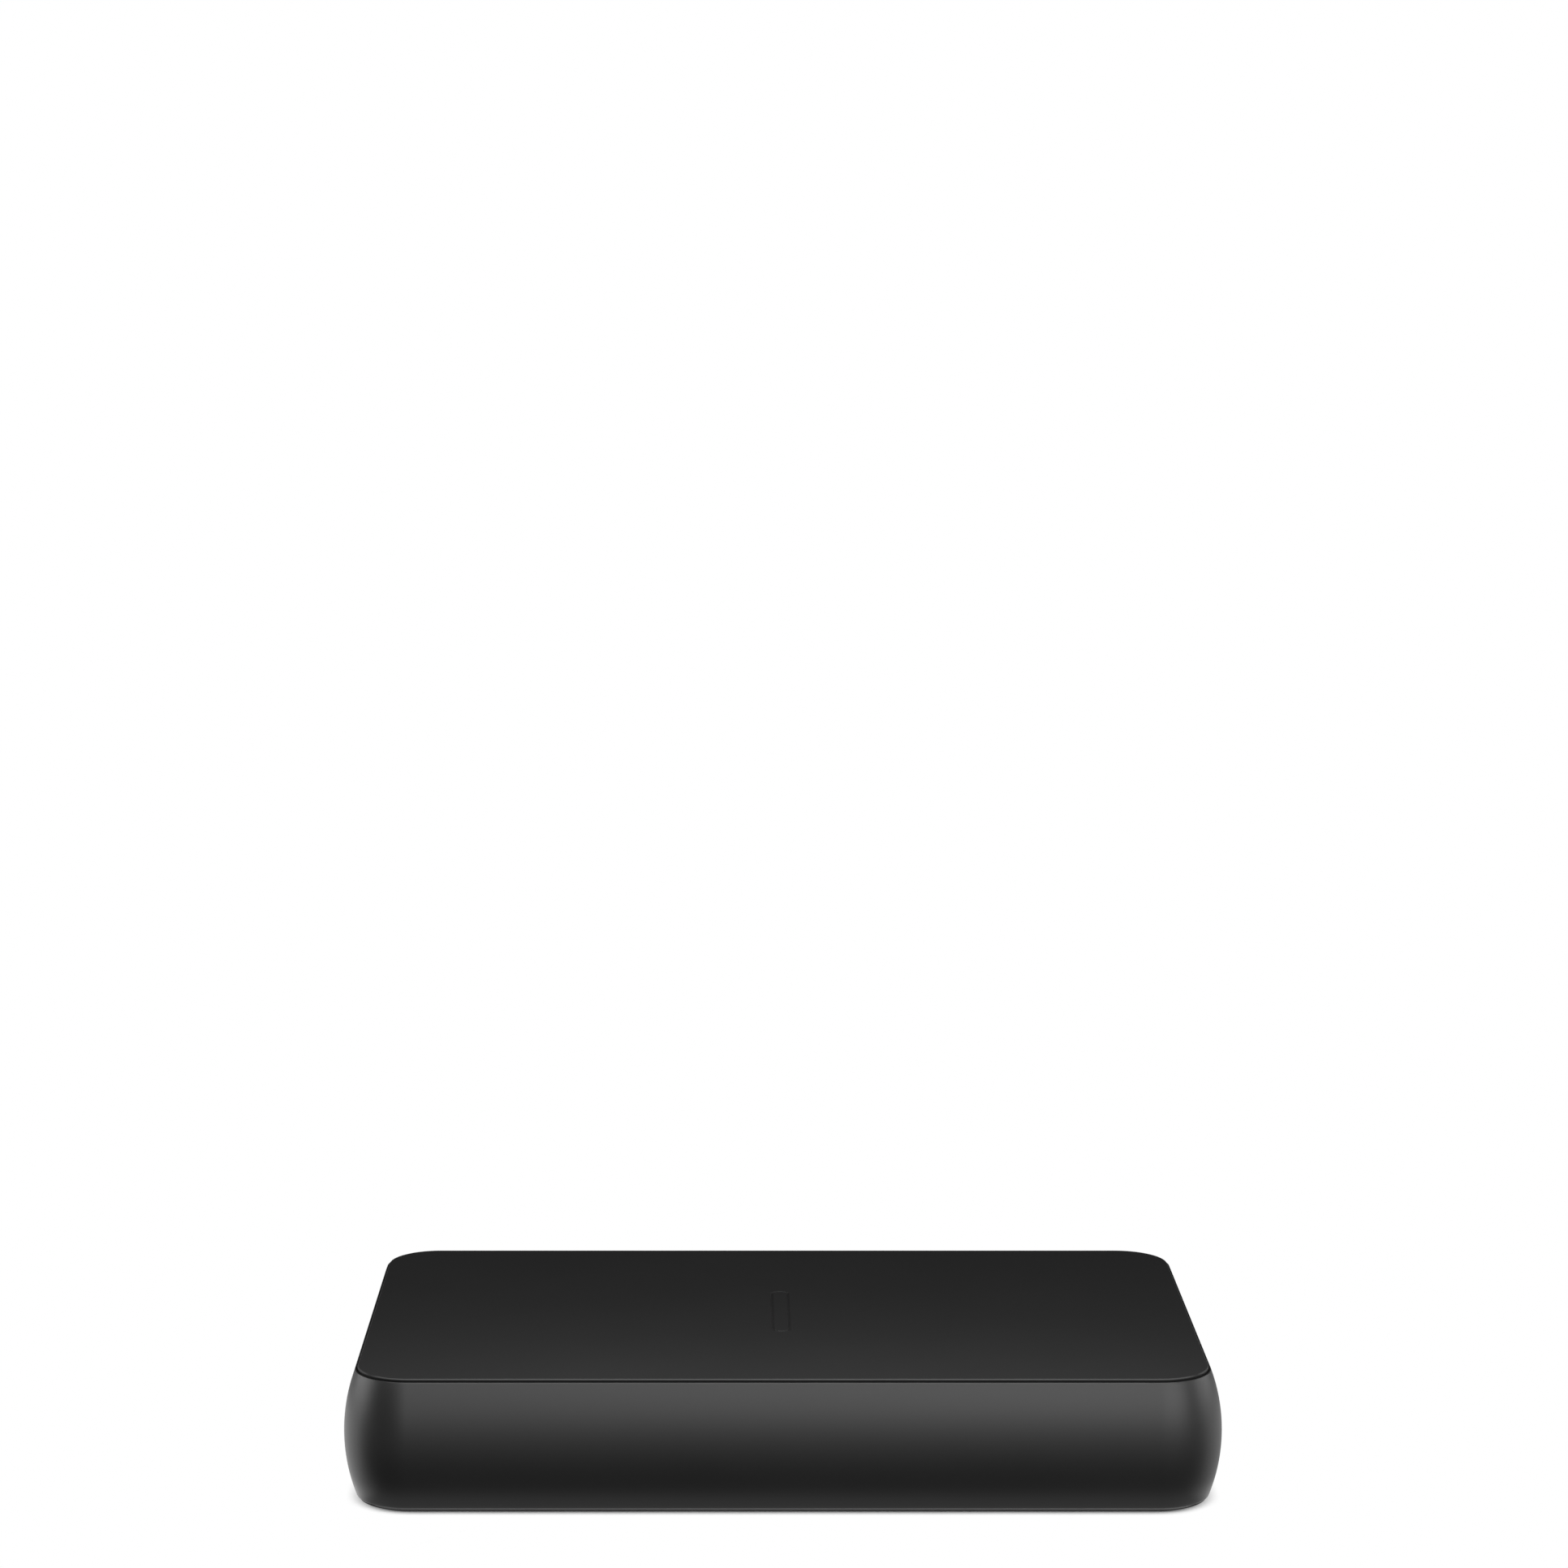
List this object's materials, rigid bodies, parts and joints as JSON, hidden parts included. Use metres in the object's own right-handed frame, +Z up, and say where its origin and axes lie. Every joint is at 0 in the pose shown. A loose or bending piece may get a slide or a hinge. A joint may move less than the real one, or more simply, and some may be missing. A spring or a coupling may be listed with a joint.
{
  "type": "wireless power bank",
  "caption": "Flat rounded power bank: bulged side band, thin covers, wireless charging coil under the top, pouch cells, circuit board, output and input ports and a sprung status button.",
  "frame": {"origin": "middle of the underside", "axes": "+X along the length towards the ports, +Y to the rear long side as the picture shows it, +Z up through the charging face"},
  "size_m": [0.1222, 0.0742, 0.0188],
  "materials": {
    "band_soft_touch": "soft-touch satin black",
    "cover_soft_touch": "soft-touch matt black",
    "button_soft_touch": "soft-touch satin black",
    "adhesive": "translucent tape",
    "foam": "closed-cell foam",
    "inner_plastic": "moulded, fine texture",
    "port_plastic": "moulded black",
    "cell_foil": "matt laminated foil",
    "nickel_strip": "rolled nickel",
    "board_laminate": "green solder mask",
    "screw_steel": "plated steel",
    "port_steel": "nickel-plated sheet",
    "gilt_contact": "gold-plated spring metal",
    "copper_wire": "enamelled litz wire",
    "ferrite": "sintered grey",
    "chip_plastic": "moulded epoxy",
    "capacitor_ceramic": "tan ceramic",
    "light_guide_clear": "clear with a slight haze",
    "led_package": "white package"
  },
  "bodies": {
    "housing": {"battery_tray": "inner_plastic", "board_screws": "screw_steel", "bottom_cover": "cover_soft_touch", "bottom_cover_adhesive": "adhesive", "cell_adhesive_pad": "adhesive", "cell_end_foam": "foam", "cell_tabs": "nickel_strip", "ceramic_capacitors": "capacitor_ceramic", "charging_coil": "copper_wire", "coil_adhesive": "adhesive", "coil_foam_pad": "foam", "coil_leads": "copper_wire", "control_chips": "chip_plastic", "ferrite_shield": "ferrite", "led_light_guide": "light_guide_clear", "lower_battery_cell": "cell_foil", "main_board": "board_laminate", "micro_usb_contacts": "gilt_contact", "micro_usb_insulator": "port_plastic", "micro_usb_shell": "port_steel", "power_inductors": "chip_plastic", "power_transistors": "chip_plastic", "side_band": "band_soft_touch", "status_leds": "led_package", "switch_body": "inner_plastic", "top_cover": "cover_soft_touch", "top_cover_adhesive": "adhesive", "upper_battery_cell": "cell_foil", "usb_a_contacts": "gilt_contact", "usb_a_insulator": "port_plastic", "usb_a_shell": "port_steel"},
    "button": {"status_button": "button_soft_touch", "switch_plunger": "inner_plastic"}
  },
  "joints": [
    {"name": "button_press", "type": "slide", "parent": "housing", "child": "button", "axis": [-1, 0, 0], "range_m": [0, 0.0004], "stiffness_N_per_m": 800, "springref_m": -0.0005}
  ]
}
